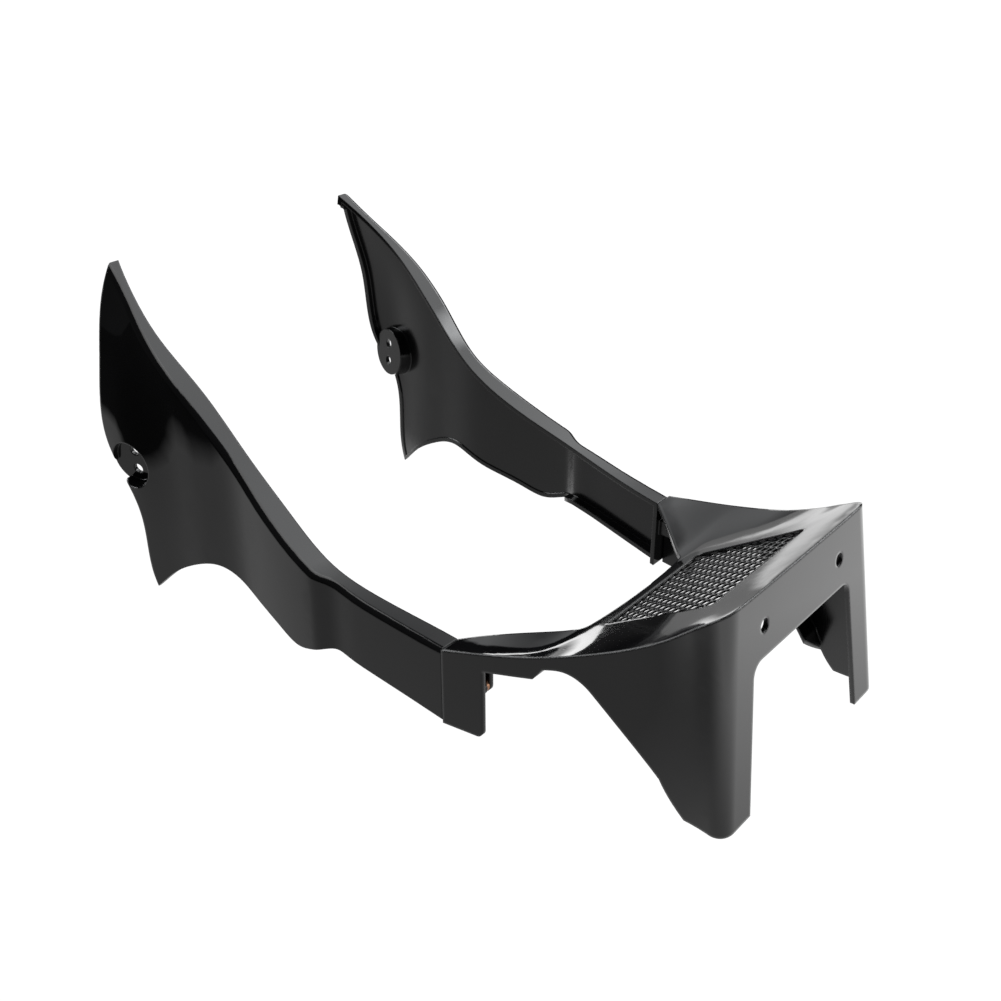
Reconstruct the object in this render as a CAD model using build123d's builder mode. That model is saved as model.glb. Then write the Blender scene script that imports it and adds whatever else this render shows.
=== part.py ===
# Motorcycle fairing: a moulded centre cowl with a diamond grille and a raked mounting plate,
# and two bladed side arms screwed to it. X runs from the blades to the plate, Y across, Z up.
from build123d import *
import os
from math import cos, exp, log, radians, sin, tan

os.makedirs("parts", exist_ok=True)

# Overall layout
COWL_LENGTH = 174.0  # seam with the arms to the foot of the plate
ARM_LENGTH = 295.0  # seam to the trailing edge of the blade
WALL = 3.0  # moulded wall thickness
SEAM_GAP = 0.3  # clearance between cowl and arm at the seam
SEAM_HALF = 117.6  # half width over the outer faces at the seam
SEAM_INNER = 103.2  # half width between the inner edges at the seam
SEAM_TOP = 60.3  # height of the rim at the seam
CUT_MARGIN = 20.0  # how far cutting bodies run past what they cut
SURFACE_TOLERANCE = 0.05  # fit of the freeform faces

# Mounting plate and feet
PLATE_TOP = 129.4
PLATE_RAKE = 7.9  # degrees from upright
PLATE_TOP_HALF = 67.0  # half width of the flat of the plate at its top
TOP_CORNER_RUN = 17.0  # length of the rounded corner beside the top of the plate
TOP_CORNER_HALF = 84.6  # half width where that corner starts
FOOT_HALF = 89.6  # half width over the side walls at the floor
FOOT_REAR_HALF = 91.6  # the same, behind the foot
FOOT_CORNER = 10.0
FOOT_DEPTH = 26.0  # length of the foot along the floor
ARCH_TOP = 89.0
ARCH_TOP_HALF = 53.6
ARCH_FOOT_HALF = 62.5
ARCH_CORNER = 9.0
PLATE_HOLE_SPACING = 84.0
PLATE_HOLE_HEIGHT = 107.4
PLATE_HOLE_RADIUS = 4.0

# Dish of the cowl and its rim, with places given as distances behind the foot of the plate
SKIN = 3.5  # thickness of the dish measured upright
DISH_SLOPE = 32.7  # degrees, the ramp that carries the grille
DISH_LIP_BACK = 118.0
DISH_LIP_HEIGHT = 64.4
DISH_LIP_HALF = 47.0  # half width of the straight front lip
DISH_LIP_BOW = 3.4  # how far the middle of the lip stands ahead of its ends
DISH_DIAGONAL_BACK = 128.0  # where the diagonal edge meets the corner of the lip
DISH_DIAGONAL_HALF = 56.0
DISH_BLEND = 2.0  # softness of the bend between the level part and the ramp
RIM_LOW_BACK = 123.0
RIM_LOW_HALF = 109.5
RIM_LOW_HEIGHT = 74.8
RIM_MID_BACK = 77.6
RIM_MID_HALF = 99.0
RIM_MID_HEIGHT = 92.2
RIM_HIGH_BACK = 50.0
RIM_HIGH_HALF = 91.4
RIM_HIGH_HEIGHT = 107.1
RIM_TURN_BACK = 30.0  # where the rim starts to turn round to the plate
RIM_TURN_HALF = 82.6
RIM_TURN_HEIGHT = 121.4
RIM_POWER = 4  # how late the dish turns up towards the rim

# Lower edge of the cowl's side walls
CONNECTOR_LENGTH = 27.0
CONNECTOR_BOTTOM = 8.3
CONNECTOR_CORNER = 4.0
NOTCH_CORNER = 1.0
NOTCH_TOP = 55.5
STEP_BACK = 115.5
STEP_LOW = 62.5
STEP_HIGH = 70.6
STEP_RUN = 5.5
CREST_BACK = 99.0
CREST_HEIGHT = 73.0
SHOULDER_BACK = 82.0
SHOULDER_HEIGHT = 64.3
KNEE_BACK = 42.3
KNEE_HEIGHT = 20.9
ANKLE_BACK = 36.6
ANKLE_HEIGHT = 11.4
RETURN_WIDTH = 19.0  # flange turned inward along the curved edge
RETURN_END_WIDTH = 3.5
RETURN_END_BACK = 36.0

# Grille and its opening
GRILLE_FRONT_BACK = 110.0
GRILLE_REAR_BACK = 41.3
GRILLE_FRONT_HALF = 49.4
GRILLE_REAR_HALF = 52.2
GRILLE_CORNER = 5.0
GRILLE_SHEET = 1.4
GRILLE_SEAT = 3.0  # width of the ledge that the sheet is bonded under
GRILLE_CLEARANCE = 0.2
DIAMOND_PITCH_ALONG = 10.0
DIAMOND_PITCH_ACROSS = 13.6
DIAMOND_STRAND = 1.8

# Screwed joint between cowl and arm, from the outside in: tongue, collar of the insert, lug
JOINT_AHEAD = 20.6  # joint axis ahead of the seam
JOINT_HEIGHT = 39.8
TONGUE_OUTER = 110.2  # half width over the outer faces of the tongues
TONGUE_THICKNESS = 2.8
TONGUE_RADIUS = 5.4
COLLAR_HEIGHT = 2.4
COLLAR_RADIUS = 5.0
INSERT_RADIUS = 3.4
INSERT_BORE = 2.1
LUG_THICKNESS = 2.8
LUG_RADIUS = 5.2
SCREW_HEAD_RADIUS = 3.9
SCREW_HEAD_DEPTH = 2.0
SCREW_CLEARANCE = 0.1
SCREW_KEY = 2.5  # across the flats of the key socket
SCREW_KEY_DEPTH = 1.5

# Side arms, with places given as distances behind the seam
ARM_FLANGE = 3.5  # upright thickness of the flanges along the edges
BAR_FLANGE = 9.5  # width of the flange under the bar
BLADE_FLANGE = 7.0  # width of the lip along the trailing edge of the blade
HEEL_LIP = 0.8  # what is left of these lips below the boss
ARM_SEAM_BOTTOM = 10.6
BELLY_BACK = 113.0
BELLY_HEIGHT = 17.3
JOG_BACK = 89.0
JOG_RUN = 10.0
JOG_HALF = 124.1
JOG_STEP = 4.2
JOG_HEIGHT = 26.6
WAIST_BACK = 176.0
WAIST_HALF = 116.7
ARCH_HEIGHT = 38.8  # top of the arch under the arm
WAIST_INNER = 102.3
LOW_TIP_BACK = 259.5
HEEL_BACK = 265.5
HEEL_HEIGHT = 60.0
SHOULDER_EDGE_BACK = 288.5
SHOULDER_EDGE_HEIGHT = 104.0
TRAILING_HEIGHT = 200.0
TIP_BACK = 292.0
TIP_HEIGHT = 221.8
TIP_INNER = 97.5
BLADE_HALF = 130.5  # half width over the blades where they stand out most
BLADE_HALF_BACK = 266.0
LEAN = 24.5  # how far the tip leans inward
LEAN_HEIGHT = 105.0
LEAN_BACK = 222.0
LEAN_RUN = 46.0
LEAN_POWER = 1.9
HEEL_LEAN = 2.6  # how far the low tip leans inward
EDGE_ROUND = 3.5  # rounding of the outer edge along the top and behind the blade

# Round boss near the trailing edge of each arm
BOSS_BACK = 268.4
BOSS_HALF = 119.5
BOSS_HEIGHT = 95.7
BOSS_RADIUS = 18.3
BOSS_FLOOR = 3.0
BOSS_DRAFT = 6.0  # degrees
BOSS_SWING = 15.5  # degrees, face turned towards the rear
BOSS_TILT = 4.5  # degrees, face turned upward
BOSS_HOLE_RADIUS = 3.5
BOSS_HOLE_SPACING = 14.0

# Places worked out from the sizes above
FOOT_X = (COWL_LENGTH + SEAM_GAP + ARM_LENGTH) / 2
SEAM_X = FOOT_X - COWL_LENGTH
ARM_X = SEAM_X - SEAM_GAP
JOINT_X = SEAM_X + JOINT_AHEAD
RAKE = tan(radians(PLATE_RAKE))
RAMP = tan(radians(DISH_SLOPE))
SECTION_TOP = PLATE_TOP + CUT_MARGIN
PLATE_TOP_X = FOOT_X - RAKE * PLATE_TOP
PAST_BLADE = ARM_LENGTH + CUT_MARGIN
TONGUE_INNER = TONGUE_OUTER - TONGUE_THICKNESS
LUG_OUTER = TONGUE_INNER - COLLAR_HEIGHT
LUG_INNER = LUG_OUTER - LUG_THICKNESS


def ahead(distance):
    """X of a place on the cowl, from its distance behind the foot of the plate."""
    return FOOT_X - distance


def astern(distance):
    """X of a place on an arm, from its distance behind the seam."""
    return ARM_X - distance


def steps(start, stop, count):
    """Evenly spaced values from start to stop."""
    return [start + (stop - start) * i / (count - 1) for i in range(count)]


def smooth(stations, x):
    """Value at x of a smooth curve through a few stations, without overshoot."""
    places = [place for place, value in stations]
    values = [value for place, value in stations]
    spans = [b - a for a, b in zip(places, places[1:])]
    rises = [(b - a) / span for a, b, span in zip(values, values[1:], spans)]
    slopes = [rises[0]]
    for before, after in zip(rises, rises[1:]):
        slopes.append(2 * before * after / (before + after) if before * after > 0 else 0.0)
    slopes.append(rises[-1])
    if x <= places[0]:
        return values[0] + slopes[0] * (x - places[0])
    if x >= places[-1]:
        return values[-1] + slopes[-1] * (x - places[-1])
    i = max(k for k in range(len(spans)) if x >= places[k])
    u = (x - places[i]) / spans[i]
    leaving = values[i] * (1 + 2 * u) + slopes[i] * spans[i] * u
    reaching = values[i + 1] * (3 - 2 * u) + slopes[i + 1] * spans[i] * (u - 1)
    return leaving * (1 - u) ** 2 + reaching * u**2


def surface(across, along, place):
    """Smooth face through the points place(a, b) for every a and b."""
    points = [[place(a, b) for b in along] for a in across]
    return Face.make_surface_from_array_of_points(points, tol=SURFACE_TOLERANCE)


# Centre cowl: plan outlines, joined by straight rules from the floor to above the plate
def floor_half(x):
    """Half width of the cowl at the floor."""
    stations = [
        (SEAM_X, SEAM_HALF),
        (ahead(RIM_LOW_BACK), RIM_LOW_HALF),
        (ahead(RIM_MID_BACK), RIM_MID_HALF),
        (ahead(RIM_HIGH_BACK), FOOT_REAR_HALF),
        (FOOT_X - FOOT_CORNER, FOOT_HALF),
    ]
    return smooth(stations, x)


def carried(floor, upper, height):
    """Value at the top outline of a rule that passes the floor and an upper place."""
    return floor + (upper - floor) * SECTION_TOP / height


def cowl_outline(level, inset):
    """Plan outline of the cowl at the floor or at the top, moved inward by a wall."""
    places = [SEAM_X - CUT_MARGIN, SEAM_X, ahead(RIM_LOW_BACK), ahead(RIM_MID_BACK), ahead(RIM_HIGH_BACK)]
    halves = [floor_half(x) for x in places]
    corner, corner_half = FOOT_X - FOOT_CORNER, FOOT_HALF
    plate, plate_half = FOOT_X, FOOT_HALF - FOOT_CORNER
    if level > 0:
        halves[4] = carried(halves[4], RIM_HIGH_HALF, RIM_HIGH_HEIGHT)
        corner = carried(corner, PLATE_TOP_X - TOP_CORNER_RUN, PLATE_TOP)
        corner_half = carried(corner_half, TOP_CORNER_HALF, PLATE_TOP)
        plate = FOOT_X - RAKE * level
        plate_half = carried(plate_half, PLATE_TOP_HALF, PLATE_TOP)
    side_points = [(x, half - inset) for x, half in zip(places, halves)]
    side_points.append((corner, corner_half - inset))
    with BuildSketch(Plane.XY.offset(level)) as outline:
        with BuildLine():
            side = Spline(*side_points)
            Spline(side @ 1, (plate - inset, plate_half), tangents=[side % 1, (0, -1)])
            Line((plate - inset, plate_half), (plate - inset, 0))
            mirror(about=Plane.XZ)
            Line(side_points[0], (side_points[0][0], -side_points[0][1]))
        make_face()
    return outline.sketch


with BuildPart() as cowl_block:
    loft([cowl_outline(0, 0), cowl_outline(SECTION_TOP, 0)], ruled=True)

with BuildPart() as cowl_core:
    loft([cowl_outline(0, WALL), cowl_outline(SECTION_TOP, WALL)], ruled=True)


# Dish: a level part, a ramp and sides that turn up to the rim
RIM_HALVES = [
    (SEAM_X, SEAM_HALF),
    (ahead(RIM_LOW_BACK), RIM_LOW_HALF),
    (ahead(RIM_MID_BACK), RIM_MID_HALF),
    (ahead(RIM_HIGH_BACK), RIM_HIGH_HALF),
    (ahead(RIM_TURN_BACK), RIM_TURN_HALF),
    (PLATE_TOP_X, PLATE_TOP_HALF),
]
RIM_HEIGHTS = [
    (SEAM_X, SEAM_TOP),
    (ahead(RIM_LOW_BACK), RIM_LOW_HEIGHT),
    (ahead(RIM_MID_BACK), RIM_MID_HEIGHT),
    (ahead(RIM_HIGH_BACK), RIM_HIGH_HEIGHT),
    (ahead(RIM_TURN_BACK), RIM_TURN_HEIGHT),
    (PLATE_TOP_X, PLATE_TOP),
]


def dish_place(x, turn):
    """Point of the dish at x, where turn runs from -1 at one rim to 1 at the other."""
    half = smooth(RIM_HALVES, x)
    ramp = DISH_LIP_HEIGHT + RAMP * (x - ahead(DISH_LIP_BACK))
    middle = SEAM_TOP + DISH_BLEND * log(1 + exp((ramp - SEAM_TOP) / DISH_BLEND))
    return (x, half * turn, middle + (smooth(RIM_HEIGHTS, x) - middle) * turn**RIM_POWER)


dish_face = surface(
    steps(SEAM_X - CUT_MARGIN / 2, PLATE_TOP_X + CUT_MARGIN / 2, 24),
    steps(-1.1, 1.1, 25),
    dish_place,
)

with BuildPart() as above_dish:
    extrude(dish_face, amount=SECTION_TOP, dir=(0, 0, 1))

with BuildSketch() as front_opening:
    with BuildLine():
        diagonal = Line((SEAM_X, SEAM_INNER), (ahead(DISH_DIAGONAL_BACK), DISH_DIAGONAL_HALF))
        lip_end = (ahead(DISH_LIP_BACK + DISH_LIP_BOW), DISH_LIP_HALF)
        lip = ThreePointArc(lip_end, (ahead(DISH_LIP_BACK), 0), (lip_end[0], -lip_end[1]))
        Spline(diagonal @ 1, lip @ 0, tangents=[diagonal % 1, lip % 0])
        Polyline(diagonal @ 0, (SEAM_X, 2 * SEAM_HALF), (SEAM_X - 2 * CUT_MARGIN, 2 * SEAM_HALF))
        mirror(about=Plane.XZ)
        Line(
            (SEAM_X - 2 * CUT_MARGIN, 2 * SEAM_HALF),
            (SEAM_X - 2 * CUT_MARGIN, -2 * SEAM_HALF),
        )
    make_face()

with BuildPart() as dish_skin:
    extrude(dish_face, amount=SKIN, dir=(0, 0, -1))
    add(cowl_block.part, mode=Mode.INTERSECT)
    extrude(front_opening.sketch, amount=SECTION_TOP, mode=Mode.SUBTRACT)

# Lower edge of the side walls: connector, notch, step and the curve down to the foot
with BuildSketch(Plane.XZ) as side_opening:
    with BuildLine():
        connector_x = SEAM_X + CONNECTOR_LENGTH
        step = (ahead(STEP_BACK), STEP_LOW)
        step_top = (ahead(STEP_BACK) + STEP_RUN, STEP_HIGH)
        knee = (ahead(KNEE_BACK), KNEE_HEIGHT)
        FilletPolyline(
            (SEAM_X - 2 * CUT_MARGIN, -CUT_MARGIN),
            (SEAM_X - 2 * CUT_MARGIN, CONNECTOR_BOTTOM),
            (connector_x, CONNECTOR_BOTTOM),
            (connector_x, NOTCH_TOP),
            step,
            step_top,
            radius=(0, CONNECTOR_CORNER, NOTCH_CORNER, NOTCH_CORNER),
        )
        flank = Line((ahead(SHOULDER_BACK), SHOULDER_HEIGHT), knee)
        Spline(step_top, (ahead(CREST_BACK), CREST_HEIGHT), flank @ 0, tangents=[(1, 0.3), flank % 0])
        ankle = Spline(knee, (ahead(ANKLE_BACK), ANKLE_HEIGHT), (ahead(FOOT_DEPTH), 0))
        Polyline(
            ankle @ 1,
            (ahead(FOOT_DEPTH), -CUT_MARGIN),
            (SEAM_X - 2 * CUT_MARGIN, -CUT_MARGIN),
        )
    make_face()

with BuildPart() as below_edge:
    extrude(side_opening.sketch, amount=2 * SEAM_HALF, both=True)

with BuildPart() as return_flanges:
    add(below_edge.part.moved(Location((0, 0, WALL / cos(radians(DISH_SLOPE))))))
    add(below_edge.part, mode=Mode.SUBTRACT)
    add(cowl_block.part, mode=Mode.INTERSECT)
    with BuildSketch() as return_strips:
        with BuildLine():
            Polyline(
                (ahead(STEP_BACK), 2 * SEAM_HALF),
                (ahead(STEP_BACK), floor_half(ahead(STEP_BACK)) - RETURN_WIDTH),
                (ahead(KNEE_BACK), floor_half(ahead(KNEE_BACK)) - RETURN_WIDTH),
                (ahead(RETURN_END_BACK), floor_half(ahead(RETURN_END_BACK)) - RETURN_END_WIDTH),
                (ahead(RETURN_END_BACK), 2 * SEAM_HALF),
                close=True,
            )
        make_face()
        mirror(about=Plane.XZ)
    extrude(amount=SECTION_TOP, mode=Mode.INTERSECT)

# Lugs that hang from the dish and take the joint screws
with BuildPart() as lugs:
    with BuildSketch(Plane.XZ.offset(-LUG_OUTER)):
        with Locations((JOINT_X, JOINT_HEIGHT)):
            Circle(LUG_RADIUS)
            Rectangle(2 * LUG_RADIUS, SEAM_TOP, align=(Align.CENTER, Align.MIN))
    extrude(amount=LUG_THICKNESS)
    mirror(about=Plane.XZ)
    add(above_dish.part, mode=Mode.SUBTRACT)

# Joint screws: countersunk heads let into the inner faces of the lugs
def screw_shape(grow):
    """Both screws without their key sockets, grown all round for the holes they pass."""
    with BuildPart() as screws:
        with BuildSketch(Plane.XZ.offset(-TONGUE_OUTER)):
            with Locations((JOINT_X, JOINT_HEIGHT)):
                Circle(INSERT_BORE - SCREW_CLEARANCE + grow)
        extrude(amount=TONGUE_OUTER - LUG_INNER)
        with BuildSketch(Plane.XZ.offset(-LUG_INNER)):
            with Locations((JOINT_X, JOINT_HEIGHT)):
                Circle(SCREW_HEAD_RADIUS + grow)
        with BuildSketch(Plane.XZ.offset(-LUG_INNER - SCREW_HEAD_DEPTH)):
            with Locations((JOINT_X, JOINT_HEIGHT)):
                Circle(INSERT_BORE - SCREW_CLEARANCE + grow)
        loft()
        mirror(about=Plane.XZ)
    return screws.part


screws_plain = screw_shape(0)
screw_holes = screw_shape(SCREW_CLEARANCE)

# Grille: its plane lies along the ramp, with X up the slope
ramp_plane = Plane(
    origin=(ahead(DISH_LIP_BACK), 0, DISH_LIP_HEIGHT),
    x_dir=(1, 0, RAMP),
    z_dir=(-RAMP, 0, 1),
)


def up_ramp(distance):
    """Distance along the ramp of a place given by its distance behind the foot of the plate."""
    return (DISH_LIP_BACK - distance) / cos(radians(DISH_SLOPE))


def grille_outline(depth, grow):
    """Rounded outline of the grille opening, a depth below the dish, grown all round."""
    front, rear = up_ramp(GRILLE_FRONT_BACK) - grow, up_ramp(GRILLE_REAR_BACK) + grow
    front_half, rear_half = GRILLE_FRONT_HALF + grow, GRILLE_REAR_HALF + grow
    with BuildSketch(ramp_plane.offset(-depth)) as outline:
        with BuildLine():
            Polyline(
                (front, -front_half), (rear, -rear_half), (rear, rear_half), (front, front_half),
                close=True,
            )
        make_face()
        fillet(outline.vertices(), GRILLE_CORNER + grow)
    return outline.sketch


SKIN_DEPTH = SKIN * cos(radians(DISH_SLOPE))
GRILLE_DEPTH = SKIN_DEPTH - GRILLE_SHEET

with BuildPart() as centre_cowl:
    add(cowl_block.part)
    add(cowl_core.part, mode=Mode.SUBTRACT)
    split(bisect_by=Plane((SEAM_X, 0, 0), z_dir=(1, 0, 0)))
    add(below_edge.part, mode=Mode.SUBTRACT)
    add(above_dish.part, mode=Mode.SUBTRACT)
    add(dish_skin.part)
    add(return_flanges.part)
    add(lugs.part)
    with BuildSketch(Plane.YZ.offset(FOOT_X + CUT_MARGIN)) as arch:
        with BuildLine():
            Polyline(
                (-ARCH_FOOT_HALF, 0), (-ARCH_TOP_HALF, ARCH_TOP),
                (ARCH_TOP_HALF, ARCH_TOP), (ARCH_FOOT_HALF, 0), close=True,
            )
        make_face()
        fillet(arch.vertices().group_by(Axis.Y)[-1], ARCH_CORNER)
    extrude(amount=-(2 * CUT_MARGIN + RAKE * ARCH_TOP), mode=Mode.SUBTRACT)
    with BuildSketch(Plane.YZ.offset(FOOT_X + CUT_MARGIN)):
        with Locations((0, PLATE_HOLE_HEIGHT)):
            with GridLocations(PLATE_HOLE_SPACING, 0, 2, 1):
                Circle(PLATE_HOLE_RADIUS)
    extrude(amount=-(2 * CUT_MARGIN + RAKE * PLATE_TOP), mode=Mode.SUBTRACT)
    extrude(grille_outline(-CUT_MARGIN, 0), amount=-2 * CUT_MARGIN, mode=Mode.SUBTRACT)
    extrude(grille_outline(GRILLE_DEPTH, GRILLE_SEAT), amount=-CUT_MARGIN, mode=Mode.SUBTRACT)
    add(screw_holes, mode=Mode.SUBTRACT)

centre_cowl.part.label = "centre_cowl"
export_step(centre_cowl.part, "parts/centre_cowl.step")

# Grille sheet with staggered diamonds
with BuildPart() as mesh_grille:
    extrude(grille_outline(GRILLE_DEPTH, GRILLE_SEAT - GRILLE_CLEARANCE), amount=-GRILLE_SHEET)
    long_half = DIAMOND_PITCH_ALONG / 2 - DIAMOND_STRAND / 2
    wide_half = DIAMOND_PITCH_ACROSS / 2 - DIAMOND_STRAND / 2
    middle = (up_ramp(GRILLE_FRONT_BACK) + up_ramp(GRILLE_REAR_BACK)) / 2
    rows = int((up_ramp(GRILLE_REAR_BACK) - up_ramp(GRILLE_FRONT_BACK)) // DIAMOND_PITCH_ALONG)
    columns = int(2 * GRILLE_FRONT_HALF // DIAMOND_PITCH_ACROSS)
    with BuildSketch(ramp_plane.offset(-GRILLE_DEPTH)):
        for row_count, column_count in ((rows, columns), (rows - 1, columns - 1)):
            with Locations((middle, 0)):
                with GridLocations(
                    DIAMOND_PITCH_ALONG, DIAMOND_PITCH_ACROSS, row_count, column_count
                ):
                    Polygon(
                        (long_half, 0), (0, wide_half), (-long_half, 0), (0, -wide_half)
                    )
    extrude(amount=-GRILLE_SHEET, mode=Mode.SUBTRACT)

mesh_grille.part.label = "mesh_grille"
export_step(mesh_grille.part, "parts/mesh_grille.step")

# Side arm, left hand: a channel with its outer skin, flanges along its edges and an end web
ARM_OUTER = [
    (0.0, SEAM_HALF),
    (22.0, 119.3),
    (50.0, 121.7),
    (70.0, 122.9),
    (JOG_BACK - JOG_RUN / 2, JOG_HALF),
    (JOG_BACK + JOG_RUN / 2, JOG_HALF + JOG_STEP),
    (JOG_BACK + JOG_RUN, JOG_HALF + JOG_STEP),
    (130.0, 124.4),
    (154.0, 120.0),
    (WAIST_BACK, WAIST_HALF),
    (211.0, 120.8),
    (226.0, 122.0),
    (246.0, 126.0),
    (BLADE_HALF_BACK, BLADE_HALF),
    (281.0, BLADE_HALF),
    (PAST_BLADE, BLADE_HALF),
]
ARM_INNER = [
    (0.0, SEAM_INNER),
    (55.0, 109.3),
    (JOG_BACK, 111.7),
    (134.0, 105.8),
    (172.0, WAIST_INNER),
    (216.0, 105.4),
    (244.0, 108.2),
    (269.0, 104.8),
    (TIP_BACK, TIP_INNER),
]
ARM_TOP = [
    (0.0, SEAM_TOP),
    (55.0, 68.6),
    (94.0, 78.3),
    (134.0, 95.0),
    (172.0, 118.6),
    (205.0, 150.5),
    (242.0, 182.6),
    (TIP_BACK, TIP_HEIGHT),
]
ARM_TRAILING = [
    (TIP_BACK, TIP_HEIGHT),
    (ARM_LENGTH, TRAILING_HEIGHT),
    (292.5, 158.0),
    (SHOULDER_EDGE_BACK, SHOULDER_EDGE_HEIGHT),
    (271.0, 76.0),
    (HEEL_BACK, HEEL_HEIGHT),
    (264.0, 20.0),
    (LOW_TIP_BACK, 0.0),
]
ARM_LOWER = [
    (LOW_TIP_BACK, 0.0),
    (241.0, 17.5),
    (220.0, 31.0),
    (195.0, ARCH_HEIGHT),
    (167.0, 30.8),
    (133.0, 21.5),
    (BELLY_BACK, BELLY_HEIGHT),
    (98.0, 21.5),
    (82.0, JOG_HEIGHT),
]
BAR_LOWER = [(66.0, 23.9), (0.0, ARM_SEAM_BOTTOM)]


def arm_half(distance, height):
    """Half width over the outer skin of the arms."""
    rise = max(0.0, height - LEAN_HEIGHT) / (TIP_HEIGHT - LEAN_HEIGHT)
    fall = max(0.0, LEAN_HEIGHT - height) / LEAN_HEIGHT
    reach = min(1.0, max(0.0, (distance - LEAN_BACK) / LEAN_RUN))
    lean = LEAN * rise**LEAN_POWER + HEEL_LEAN * fall
    return smooth(ARM_OUTER, distance) - lean * reach**2 * (3 - 2 * reach)


def arm_plan(height, depth):
    """Plan outline of the space behind the outer skin of the left arm, at a height."""
    distances = [-CUT_MARGIN, *[distance for distance, half in ARM_OUTER]]
    skin = [(astern(d), arm_half(d, height) - depth) for d in distances]
    with BuildSketch(Plane.XY.offset(height)) as outline:
        with BuildLine():
            Spline(*skin)
            Polyline(skin[-1], (skin[-1][0], 0), (skin[0][0], 0), skin[0])
        make_face()
    return outline.sketch


def behind_skin(depth):
    """Solid that fills the space deeper than the given depth behind the outer skin."""
    with BuildPart() as space:
        heights = [-CUT_MARGIN, LEAN_HEIGHT / 2, *steps(LEAN_HEIGHT, TIP_HEIGHT + CUT_MARGIN, 5)]
        loft([arm_plan(height, depth) for height in heights])
    return space.part


def arm_points(stations):
    """Stations of an arm's edge as points of the side view."""
    return [(astern(distance), height) for distance, height in stations]


with BuildSketch(Plane.XZ) as arm_side:
    with BuildLine():
        Spline(*arm_points(ARM_TOP))
        Spline(*arm_points(ARM_TRAILING))
        bar_edge = Line(*arm_points(BAR_LOWER))
        lower = arm_points(ARM_LOWER)
        Spline(*lower, bar_edge @ 0, tangents=[(1, 0.9), bar_edge % 0])
        Line((ARM_X, ARM_SEAM_BOTTOM), (ARM_X, SEAM_TOP))
    make_face()

with BuildPart() as arm_prism:
    extrude(arm_side.sketch, amount=2 * SEAM_HALF, dir=(0, 1, 0))

with BuildPart() as under_flange:
    with BuildSketch(Plane.XZ):
        with BuildLine():
            Spline(*[(x, z - ARM_FLANGE) for x, z in arm_points(ARM_TOP)])
            Polyline(
                (astern(TIP_BACK), TIP_HEIGHT - ARM_FLANGE),
                (astern(PAST_BLADE), TIP_HEIGHT - ARM_FLANGE),
                (astern(PAST_BLADE), -CUT_MARGIN),
                (ARM_X, -CUT_MARGIN),
                (ARM_X, SEAM_TOP - ARM_FLANGE),
            )
        make_face()
    extrude(amount=2 * SEAM_HALF, dir=(0, 1, 0))

# Boss: a shallow cup seen as a disc from inside and as a recess from outside
swing, tilt = radians(BOSS_SWING), radians(BOSS_TILT)
boss_plane = Plane(
    origin=(astern(BOSS_BACK), BOSS_HALF, BOSS_HEIGHT),
    x_dir=(cos(swing), -sin(swing), 0),
    z_dir=(sin(swing) * cos(tilt), cos(swing) * cos(tilt), -sin(tilt)),
)

with BuildPart() as boss_body:
    with BuildSketch(boss_plane):
        Circle(BOSS_RADIUS)
    extrude(amount=2 * CUT_MARGIN, taper=-BOSS_DRAFT)

with BuildPart() as boss_disc:
    with BuildSketch(boss_plane):
        Circle(BOSS_RADIUS)
    extrude(amount=BOSS_FLOOR)

with BuildPart() as boss_pocket:
    with BuildSketch(boss_plane.offset(BOSS_FLOOR)):
        Circle(BOSS_RADIUS - WALL)
    extrude(amount=2 * CUT_MARGIN, taper=-BOSS_DRAFT)
    with BuildSketch(boss_plane.offset(-BOSS_FLOOR)):
        with GridLocations(0, BOSS_HOLE_SPACING, 1, 2):
            Circle(BOSS_HOLE_RADIUS)
    extrude(amount=4 * BOSS_FLOOR)


def hollow(depth, drop, shifts, start, top):
    """Space behind the skin and a drop below the top flange, from a start backward, up to a top.

    It also stays within the side view moved by each of the shifts, which leaves a lip there.
    """
    space = behind_skin(depth)
    with BuildPart() as cut:
        add(space)
        add(under_flange.part.moved(Location((0, 0, -drop))), mode=Mode.INTERSECT)
        for shift_x, shift_z in shifts:
            add(arm_prism.part.moved(Location((shift_x, 0, shift_z))), mode=Mode.INTERSECT)
        with BuildSketch(Plane.XY.offset(-CUT_MARGIN)) as reach:
            with Locations((astern(start), 0)):
                Rectangle(PAST_BLADE - start, 2 * SEAM_HALF, align=(Align.MAX, Align.MIN))
        extrude(reach.sketch, amount=top + CUT_MARGIN, mode=Mode.INTERSECT)
        add(boss_body.part, mode=Mode.SUBTRACT)
    return cut.part


arm_block = behind_skin(0)
channel = hollow(WALL, 0, [(0, ARM_FLANGE), (ARM_FLANGE, 0)], WALL, TIP_HEIGHT)
bar_trim = hollow(BAR_FLANGE, ARM_FLANGE, [], WALL, TIP_HEIGHT)
blade_trim = hollow(BLADE_FLANGE, 2 * ARM_FLANGE, [], BELLY_BACK, TIP_HEIGHT)
heel_trim = hollow(WALL + HEEL_LIP, 3 * ARM_FLANGE, [], JOG_BACK, BOSS_HEIGHT)

# Tongue that reaches past the seam and carries the threaded insert
with BuildPart() as tongue:
    with BuildSketch(Plane.XZ.offset(-TONGUE_OUTER)):
        with Locations((JOINT_X, JOINT_HEIGHT)):
            Circle(TONGUE_RADIUS)
            Rectangle(
                JOINT_X - ARM_X + WALL, 2 * TONGUE_RADIUS, align=(Align.MAX, Align.CENTER)
            )
            Circle(INSERT_RADIUS, mode=Mode.SUBTRACT)
    extrude(amount=TONGUE_THICKNESS)

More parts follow.
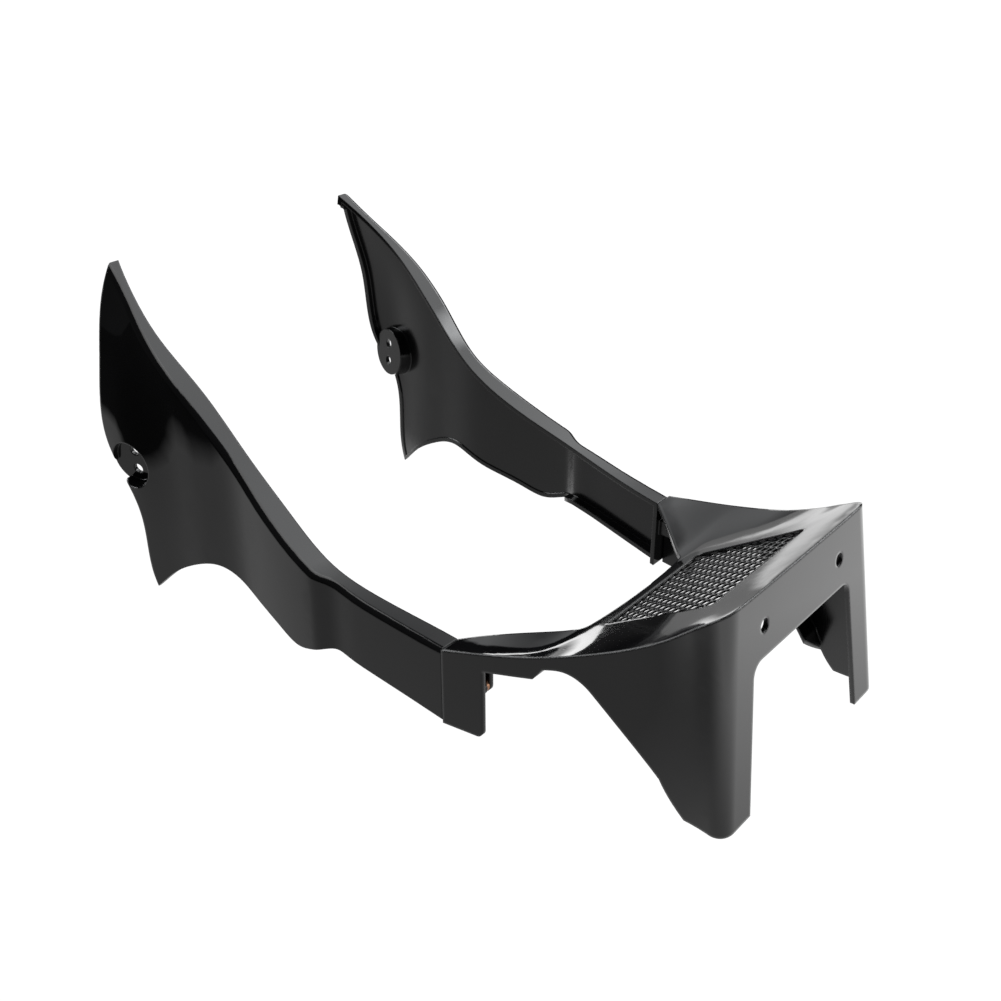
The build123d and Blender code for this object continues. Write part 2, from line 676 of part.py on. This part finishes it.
with BuildPart() as left_arm:
    add(arm_prism.part)
    add(arm_block, mode=Mode.INTERSECT)
    with BuildSketch() as inner_side:
        with BuildLine():
            Spline(*[(astern(distance), half) for distance, half in ARM_INNER])
            Polyline(
                (astern(TIP_BACK), TIP_INNER),
                (astern(PAST_BLADE), TIP_INNER),
                (astern(PAST_BLADE), 0),
                (ARM_X, 0),
                (ARM_X, SEAM_INNER),
            )
        make_face()
    extrude(amount=TIP_HEIGHT + CUT_MARGIN, mode=Mode.SUBTRACT)
    top_and_trailing = left_arm.faces().sort_by(Axis.Y)[-1].edges().sort_by(SortBy.LENGTH)[-2:]
    fillet(top_and_trailing, EDGE_ROUND)
    for space in (channel, bar_trim, blade_trim, heel_trim):
        add(space, mode=Mode.SUBTRACT)
    add(boss_disc.part)
    add(boss_pocket.part, mode=Mode.SUBTRACT)
    add(tongue.part)

with BuildPart() as right_arm:
    mirror(left_arm.part, about=Plane.XZ)

left_arm.part.label = "left_arm"
export_step(left_arm.part, "parts/left_arm.step")
right_arm.part.label = "right_arm"
export_step(right_arm.part, "parts/right_arm.step")

# Threaded inserts, pressed into the tongues up to their collars
with BuildPart() as brass_inserts:
    with BuildSketch(Plane.XZ.offset(-TONGUE_OUTER)):
        with Locations((JOINT_X, JOINT_HEIGHT)):
            Circle(INSERT_RADIUS)
            Circle(INSERT_BORE, mode=Mode.SUBTRACT)
    extrude(amount=TONGUE_THICKNESS)
    with BuildSketch(Plane.XZ.offset(-TONGUE_INNER)):
        with Locations((JOINT_X, JOINT_HEIGHT)):
            Circle(COLLAR_RADIUS)
            Circle(INSERT_BORE, mode=Mode.SUBTRACT)
    extrude(amount=COLLAR_HEIGHT)
    mirror(about=Plane.XZ)

with BuildPart() as joint_screws:
    add(screws_plain)
    with BuildSketch(Plane.XZ.offset(-LUG_INNER)):
        with Locations((JOINT_X, JOINT_HEIGHT)):
            RegularPolygon(SCREW_KEY / 2, 6, major_radius=False)
    extrude(amount=-SCREW_KEY_DEPTH, mode=Mode.SUBTRACT)
    with BuildSketch(Plane.XZ.offset(LUG_INNER)):
        with Locations((JOINT_X, JOINT_HEIGHT)):
            RegularPolygon(SCREW_KEY / 2, 6, major_radius=False)
    extrude(amount=SCREW_KEY_DEPTH, mode=Mode.SUBTRACT)

brass_inserts.part.label = "brass_inserts"
export_step(brass_inserts.part, "parts/brass_inserts.step")
joint_screws.part.label = "joint_screws"
export_step(joint_screws.part, "parts/joint_screws.step")
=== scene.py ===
import bpy
import bmesh
from math import cos, radians, sin
from mathutils import Matrix, Vector


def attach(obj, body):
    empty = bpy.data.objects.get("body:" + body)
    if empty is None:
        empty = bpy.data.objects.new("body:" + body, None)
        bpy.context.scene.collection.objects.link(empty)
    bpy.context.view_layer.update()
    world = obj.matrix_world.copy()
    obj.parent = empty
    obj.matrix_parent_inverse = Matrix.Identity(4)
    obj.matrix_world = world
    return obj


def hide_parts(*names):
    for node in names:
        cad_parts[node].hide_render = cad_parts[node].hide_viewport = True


# Radii by which the shading rounds the edges
COWL_EDGE = 0.0024
ARM_EDGE = 0.0012
EDGE_SAMPLES = 6

# Darkest and lightest tone of each material
SHELL_TONES = ((0.0022, 0.0022, 0.0024), (0.0042, 0.0042, 0.0048))
GRILLE_TONES = ((0.005, 0.005, 0.0054), (0.013, 0.013, 0.014))
BRASS_TONES = ((0.42, 0.19, 0.1), (0.78, 0.46, 0.3))
ZINC_TONES = ((0.09, 0.09, 0.095), (0.26, 0.26, 0.27))
NOISE_SPAN = (0.3, 0.7)  # where most of a noise texture's values lie

# Moulding: y times the normal's y on faces turned inward, the normal's z on faces turned down,
# and what is added to the roughness of both
PLASTIC_IOR = 1.5
INWARD = (-0.03, -0.06)
DOWNWARD = (-0.2, -0.5)
SATIN = 0.16

# Ramp of the dish, which carries the grille: u runs up the slope from the lip, v across
FOOT_X = 0.23465  # foot of the plate
SLOPE = radians(32.7)
LIP = Vector((FOOT_X - 0.118, 0, 0.0644))
SKIN = 0.0035 * cos(SLOPE)  # wall, measured square to the slope
# Front and rear edge of the opening in the ramp, and half its width there
U_FRONT, U_REAR = 0.008 / cos(SLOPE), 0.0767 / cos(SLOPE)
V_FRONT, V_REAR = 0.0494, 0.0522

# Fine grille: six-sided cells in staggered rows, in a sheet that reaches under the frame
SHEET = 0.0012
BORDER = 0.0026
COLUMNS = 14
SPARE_CELLS = 3  # tried past each side, so that the sheet is filled to its edge
EDGE_STRAND = 0.0008  # least width of a strand at the edge of the sheet
# Shares of a whole cell's area below which a cell, or the hole in it, is left out
LEAST_CELL, LEAST_HOLE = 0.001, 0.12
SAME_PLACE = 0.00002  # corners closer than this are merged
HOLE = 0.8
# Strand from its middle line over its rounded shoulder to its underside:
# share of the cell, share of the sheet's thickness
STRAND = [(1, 0), (0.87, 0.02), (0.83, 0.12), (HOLE, 0.32), (HOLE, 1), (1, 1)]
ROUNDED = 3  # steps of the strand that are shaded smooth

# White sweep, seen by the camera alone
SWEEP = 12.0
SWEEP_LEVEL = 1.05

# Table seen in reflections alone, its glow painted light: levels, and where it brightens along x
# + lean * y
TABLE_CORNERS = [(-4, -2.5, -0.001), (3, -2.5, -0.001), (3, 4, -0.001), (-4, 4, -0.001)]
TABLE_FRONT, TABLE_BACK = 0.48, 1.75
TABLE_LEAN = 0.35
TABLE_RISE = (0.12, 0.4)
# Its front edge fades into the dark. The edge bends forward to one side and opens to the other.
TABLE_EDGE, TABLE_FADE, TABLE_DARK = 0.338, 0.045, 0.05
EDGE_BEND_X, EDGE_BEND = -0.65, 0.288
EDGE_OPEN_X, EDGE_OPEN = 0.02, 3.0
# Painted pools of light on it: x and y of start, full, full until and end, and level
TABLE_LIGHTS = [
    ((-0.34, -0.28, 0.0, 0.04), (0.1, 0.14, 0.34, 0.44), 2.0),
    ((-0.56, -0.44, 0.15, 0.25), (0.7, 0.76, 1.5, 2.0), 1.35),
    ((-0.33, -0.27, 0.15, 0.25), (0.58, 0.64, 0.7, 0.76), 1.35),
]

# Softbox overhead
BOX_PLACE, BOX_TARGET = Vector((0.1, 0.3, 1.9)), Vector((0.05, 0.1, 0))
BOX_SIZE, BOX_POWER = (1.4, 1.0), 10

# Dim room with four soft panels, in degrees: axis that azimuth is measured from,
# azimuth of start, full, full until and end, the same for elevation, and level
ROOM = 0.06
ROOM_COLOUR = (0.97, 0.985, 1.0, 1)
PANELS = [
    ("X", (125, 133, 165, 175), (-10, 22, 40, 46), 0.88),
    ("X", (40, 50, 108, 130), (33, 37, 58, 64), 2.4),
    ("X", (46, 54, 94, 99), (28, 31, 37, 40), 8.0),
    ("-X", (-40, -34, 12, 18), (22, 28, 58, 62), 6.0),
]

# Camera at the photograph's viewing angle
CAMERA_PLACE = (FOOT_X + 0.2272, -0.5479, 0.4841)
CAMERA_FORWARD = Vector((-0.558, 0.672, -0.486))
SENSOR = 36
FOCAL_PIXELS, IMAGE_PIXELS = 1271, 1001

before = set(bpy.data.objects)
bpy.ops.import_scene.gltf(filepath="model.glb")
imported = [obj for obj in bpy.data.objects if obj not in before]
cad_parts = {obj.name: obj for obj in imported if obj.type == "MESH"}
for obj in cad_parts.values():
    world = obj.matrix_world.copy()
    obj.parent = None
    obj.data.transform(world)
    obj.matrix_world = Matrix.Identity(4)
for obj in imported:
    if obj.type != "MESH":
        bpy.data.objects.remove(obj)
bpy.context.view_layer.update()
scene = bpy.context.scene
scene.view_settings.view_transform = "Standard"


class Tree:
    """Node tree of a material or of the world, with the nodes that this scene needs."""

    def __init__(self, owner):
        owner.use_nodes = True
        self.nodes = owner.node_tree.nodes
        self.links = owner.node_tree.links

    def add(self, kind, **inputs):
        """New node, with inputs set by name: a constant on the socket, or a link to it."""
        node = self.nodes.new("ShaderNode" + kind)
        for name, value in inputs.items():
            self.feed(node.inputs[name.replace("_", " ")], value)
        return node

    def feed(self, socket, value):
        if isinstance(value, (int, float, tuple)):
            socket.default_value = value
        else:
            self.links.new(value, socket)

    def maths(self, operation, *values):
        node = self.add("Math")
        node.operation = operation
        for socket, value in zip(node.inputs, values):
            self.feed(socket, value)
        return node.outputs["Value"]

    def split(self, vector):
        return self.add("SeparateXYZ", Vector=vector).outputs

    def place(self, kind):
        return self.add("TexCoord").outputs[kind]

    def noise(self, scale, detail=4.0, stretch=None):
        """Noise over the object's own coordinates, stretched along an axis if asked."""
        place = self.place("Object")
        if stretch:
            place = self.add("Mapping", Vector=place, Scale=stretch).outputs["Vector"]
        return self.add("TexNoise", Vector=place, Scale=scale, Detail=detail).outputs["Fac"]

    def ramp(self, value, span, to=(0.0, 1.0)):
        """Value mapped from one span to another, clamped."""
        node = self.add(
            "MapRange", Value=value,
            From_Min=span[0], From_Max=span[1], To_Min=to[0], To_Max=to[1],
        )
        return node.outputs["Result"]

    def window(self, value, start, full, until, end):
        """One between full and until, falling to zero at start and end."""
        rise = self.ramp(value, (start, full))
        fall = self.ramp(value, (until, end), (1.0, 0.0))
        return self.maths("MULTIPLY", rise, fall)

    def tone(self, value, dark, light, span=(0.0, 1.0)):
        """Colour from dark to light over a span of the value."""
        node = self.add("ValToRGB", Fac=value)
        for element, position, colour in zip(node.color_ramp.elements, span, (dark, light)):
            element.position = position
            element.color = (*colour, 1)
        return node.outputs["Color"]

    def bump(self, height, strength, distance, normal=None):
        node = self.add("Bump", Height=height, Strength=strength, Distance=distance)
        if normal:
            self.links.new(normal, node.inputs["Normal"])
        return node.outputs["Normal"]

    def soft_edges(self, radius):
        node = self.add("Bevel", Radius=radius)
        node.samples = EDGE_SAMPLES
        return node.outputs["Normal"]

    def surface(self, kind, **inputs):
        """Shader that ends the tree, with its inputs set by name."""
        shader = self.add(kind, **inputs)
        output = self.add("OutputMaterial")
        self.links.new(shader.outputs[0], output.inputs["Surface"])


def new_material(name):
    material = bpy.data.materials.new(name)
    tree = Tree(material)
    tree.nodes.clear()
    return material, tree


# Gloss black moulding: polished outside, satin on the faces turned inward or down
def shell_material(name, edge):
    material, tree = new_material(name)
    normal = tree.split(tree.add("NewGeometry").outputs["True Normal"])
    side = tree.maths("MULTIPLY", tree.split(tree.place("Object"))["Y"], normal["Y"])
    inner = tree.ramp(side, INWARD)
    under = tree.ramp(normal["Z"], DOWNWARD)
    satin = tree.maths("MAXIMUM", inner, under)

    haze = tree.ramp(tree.noise(scale=60.0, detail=6.0), (0.4, 0.75), (0.035, 0.075))
    rubs = tree.noise(scale=900.0, detail=2.0, stretch=(1.0, 0.05, 1.0))
    haze = tree.maths("ADD", haze, tree.ramp(rubs, (0.62, 0.8), (0.0, 0.05)))

    flow = tree.noise(scale=55.0, detail=2.0)
    relief = tree.bump(flow, strength=0.05, distance=0.0004, normal=tree.soft_edges(edge))
    grain = tree.maths("MULTIPLY", tree.noise(scale=2600.0, detail=2.0), satin)
    tree.surface(
        "BsdfPrincipled",
        Base_Color=tree.tone(tree.noise(scale=28.0), *SHELL_TONES, span=(0.35, 0.7)),
        Roughness=tree.maths("MULTIPLY_ADD", satin, SATIN, haze),
        Normal=tree.bump(grain, strength=0.08, distance=0.0002, normal=relief),
        IOR=PLASTIC_IOR,
    )
    return material


# Satin black sheet of the grille
def grille_material():
    material, tree = new_material("grille_sheet")
    tree.surface(
        "BsdfPrincipled",
        Base_Color=tree.tone(tree.noise(scale=160.0), *GRILLE_TONES),
        Roughness=tree.ramp(tree.noise(scale=420.0), NOISE_SPAN, (0.14, 0.22)),
        Normal=tree.bump(tree.noise(scale=1500.0), strength=0.03, distance=0.0002),
    )
    return material


# Turned brass of the inserts
def brass_material():
    material, tree = new_material("turned_brass")
    rings = tree.noise(scale=1100.0, detail=1.0, stretch=(0.15, 4.0, 0.15))
    tree.surface(
        "BsdfPrincipled",
        Base_Color=tree.tone(tree.noise(scale=380.0), *BRASS_TONES),
        Metallic=1.0,
        Roughness=tree.ramp(rings, NOISE_SPAN, (0.18, 0.36)),
        Normal=tree.bump(rings, strength=0.35, distance=0.0002),
    )
    return material


# Dark zinc of the joint screws
def screw_material():
    material, tree = new_material("dark_zinc")
    tree.surface(
        "BsdfPrincipled",
        Base_Color=tree.tone(tree.noise(scale=300.0), *ZINC_TONES),
        Metallic=1.0,
        Roughness=tree.ramp(tree.noise(scale=900.0), NOISE_SPAN, (0.25, 0.45)),
        Normal=tree.bump(tree.noise(scale=1300.0), strength=0.2, distance=0.0001),
    )
    return material


def dress(name, material):
    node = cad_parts[name]
    node.data.materials.clear()
    node.data.materials.append(material)


dress("centre_cowl", shell_material("cowl_shell", COWL_EDGE))
arm_shell = shell_material("arm_shell", ARM_EDGE)
for name in ("left_arm", "right_arm"):
    dress(name, arm_shell)
dress("brass_inserts", brass_material())
dress("joint_screws", screw_material())
grille_black = grille_material()
dress("mesh_grille", grille_black)


# Fine grille
def on_ramp(u, v, depth):
    along = Vector((cos(SLOPE), 0, sin(SLOPE)))
    up = Vector((-sin(SLOPE), 0, cos(SLOPE)))
    return LIP + along * u + Vector((0, v, 0)) - up * depth


def on_sheet(u, v, inset):
    """Place held within the sheet's edge, or an inset from it."""
    border = BORDER - inset
    u = min(max(u, U_FRONT - border), U_REAR + border)
    edge = V_FRONT + (V_REAR - V_FRONT) * (u - U_FRONT) / (U_REAR - U_FRONT) + border
    return u, min(max(v, -edge), edge)


def spread(ring):
    """Area of a ring of (u, v) points."""
    return abs(sum(a[0] * b[1] - b[0] * a[1] for a, b in zip(ring, ring[1:] + ring[:1]))) / 2


def cell(mesh, u0, v0, corners):
    """One cell of the grille about its middle, with its share of the strands round it."""
    whole = spread(corners)
    outlines = []
    for share, _ in STRAND:
        inset = EDGE_STRAND * (1 - share) / (1 - HOLE)
        outlines.append([on_sheet(u0 + du * share, v0 + dv * share, inset) for du, dv in corners])
    if spread(outlines[0]) < whole * LEAST_CELL:
        return
    pierced = spread(outlines[ROUNDED]) >= whole * LEAST_HOLE
    rings = []
    for outline, (share, drop) in zip(outlines, STRAND):
        if pierced or share == 1:
            depth = SKIN - SHEET + SHEET * drop
            rings.append([mesh.verts.new(on_ramp(u, v, depth)) for u, v in outline])
    if not pierced:
        mesh.faces.new(rings[0])
        mesh.faces.new(list(reversed(rings[1])))
        return
    for step, (outer, inner) in enumerate(zip(rings, rings[1:])):
        for i in range(len(corners)):
            j = (i + 1) % len(corners)
            face = mesh.faces.new((outer[i], outer[j], inner[j], inner[i]))
            face.smooth = step < ROUNDED


def fine_grille():
    half_v = V_FRONT / COLUMNS
    side = half_v / cos(radians(30))
    row_step = 1.5 * side
    turns = [radians(60 * i) for i in range(6)]
    corners = [(side * cos(turn), side * sin(turn)) for turn in turns]
    mesh = bmesh.new()
    for row in range(-1, int((U_REAR - U_FRONT) / row_step) + 2):
        for column in range(-COLUMNS - SPARE_CELLS, COLUMNS + SPARE_CELLS + 1):
            if (row + column) % 2 == 0:
                cell(mesh, U_FRONT + row * row_step, column * half_v, corners)
    bmesh.ops.remove_doubles(mesh, verts=mesh.verts, dist=SAME_PLACE)
    bmesh.ops.bridge_loops(mesh, edges=[edge for edge in mesh.edges if edge.is_boundary])
    bmesh.ops.recalc_face_normals(mesh, faces=mesh.faces)
    data = bpy.data.meshes.new("diamond_grille")
    mesh.to_mesh(data)
    mesh.free()
    data.materials.append(grille_black)
    grille = bpy.data.objects.new("diamond_grille", data)
    scene.collection.objects.link(grille)
    return grille


grille = fine_grille()
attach(grille, "root")
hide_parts("mesh_grille")


# Studio: a white sweep for the camera, and the table, softbox and panels that the gloss reflects
def sweep_material():
    material, tree = new_material("white_sweep")
    tree.surface("Emission", Strength=SWEEP_LEVEL)
    return material


def table_material():
    """Glowing table of painted light: brighter to the back right, dark past its front edge, with
    pools of light.
    """
    material, tree = new_material("glowing_table")
    place = tree.split(tree.place("Object"))
    x, y = place["X"], place["Y"]
    towards = tree.maths("MULTIPLY_ADD", y, TABLE_LEAN, x)
    level = tree.ramp(towards, TABLE_RISE, (TABLE_FRONT, TABLE_BACK))
    bent = tree.maths("MAXIMUM", tree.maths("SUBTRACT", EDGE_BEND_X, x), 0.0)
    opened = tree.maths("MAXIMUM", tree.maths("SUBTRACT", x, EDGE_OPEN_X), 0.0)
    inside = tree.maths("MULTIPLY_ADD", bent, EDGE_BEND, tree.maths("ADD", y, TABLE_EDGE))
    inside = tree.maths("MULTIPLY_ADD", opened, EDGE_OPEN, inside)
    level = tree.maths("MULTIPLY", level, tree.ramp(inside, (0.0, TABLE_FADE), (TABLE_DARK, 1.0)))
    # painted pools of light, added to the table's glow
    for across, along, lit in TABLE_LIGHTS:
        pool = tree.maths("MULTIPLY", tree.window(x, *across), tree.window(y, *along))
        level = tree.maths("MULTIPLY_ADD", pool, lit, level)
    tree.surface("Emission", Strength=level)
    return material


def sheet(name, corners, material, faces=None):
    data = bpy.data.meshes.new(name)
    data.from_pydata(corners, [], faces or [list(range(len(corners)))])
    data.materials.append(material)
    obj = bpy.data.objects.new(name, data)
    scene.collection.objects.link(obj)
    return obj


def only_seen(obj):
    obj.visible_diffuse = False
    obj.visible_glossy = False
    obj.visible_transmission = False
    obj.visible_volume_scatter = False
    obj.visible_shadow = False


white_sweep = sweep_material()
bottoms = [(-SWEEP, -SWEEP, 0), (SWEEP, -SWEEP, 0), (SWEEP, SWEEP, 0), (-SWEEP, SWEEP, 0)]
only_seen(sheet("floor", bottoms, white_sweep))
tops = [(x, y, SWEEP) for x, y, _ in bottoms]
walls = [[0, 1, 5, 4], [1, 2, 6, 5], [2, 3, 7, 6], [3, 0, 4, 7], [4, 5, 6, 7]]
only_seen(sheet("backdrop", bottoms + tops, white_sweep, walls))

table = sheet("table", TABLE_CORNERS, table_material())
table.visible_camera = False


def softbox():
    light = bpy.data.lights.new("overhead", "AREA")
    light.shape = "RECTANGLE"
    light.size, light.size_y = BOX_SIZE
    light.energy = BOX_POWER
    obj = bpy.data.objects.new("overhead", light)
    aim = (BOX_TARGET - BOX_PLACE).to_track_quat("-Z", "Y")
    obj.matrix_world = Matrix.Translation(BOX_PLACE) @ aim.to_matrix().to_4x4()
    scene.collection.objects.link(obj)


def room():
    world = bpy.data.worlds.new("room")
    scene.world = world
    tree = Tree(world)
    x, y, z = tree.split(tree.place("Generated"))
    around = {
        "X": tree.maths("ARCTAN2", y, x),
        "-X": tree.maths("ARCTAN2", y, tree.maths("MULTIPLY", x, -1.0)),
    }
    up = tree.maths("ARCSINE", z)

    def panel(value, angles):
        return tree.window(value, *(radians(angle) for angle in angles))

    level = ROOM
    for axis, across, height, lit in PANELS:
        shape = tree.maths("MULTIPLY", panel(around[axis], across), panel(up, height))
        level = tree.maths("MULTIPLY_ADD", shape, lit, level)
    background = tree.nodes["Background"].inputs
    background["Color"].default_value = ROOM_COLOUR
    tree.links.new(level, background["Strength"])


softbox()
room()

camera = bpy.data.cameras.new("camera")
camera.sensor_width = SENSOR
camera.lens = SENSOR * FOCAL_PIXELS / IMAGE_PIXELS
camera_object = bpy.data.objects.new("camera", camera)
camera_object.location = CAMERA_PLACE
camera_object.rotation_euler = CAMERA_FORWARD.to_track_quat("-Z", "Y").to_euler()
scene.collection.objects.link(camera_object)
scene.camera = camera_object
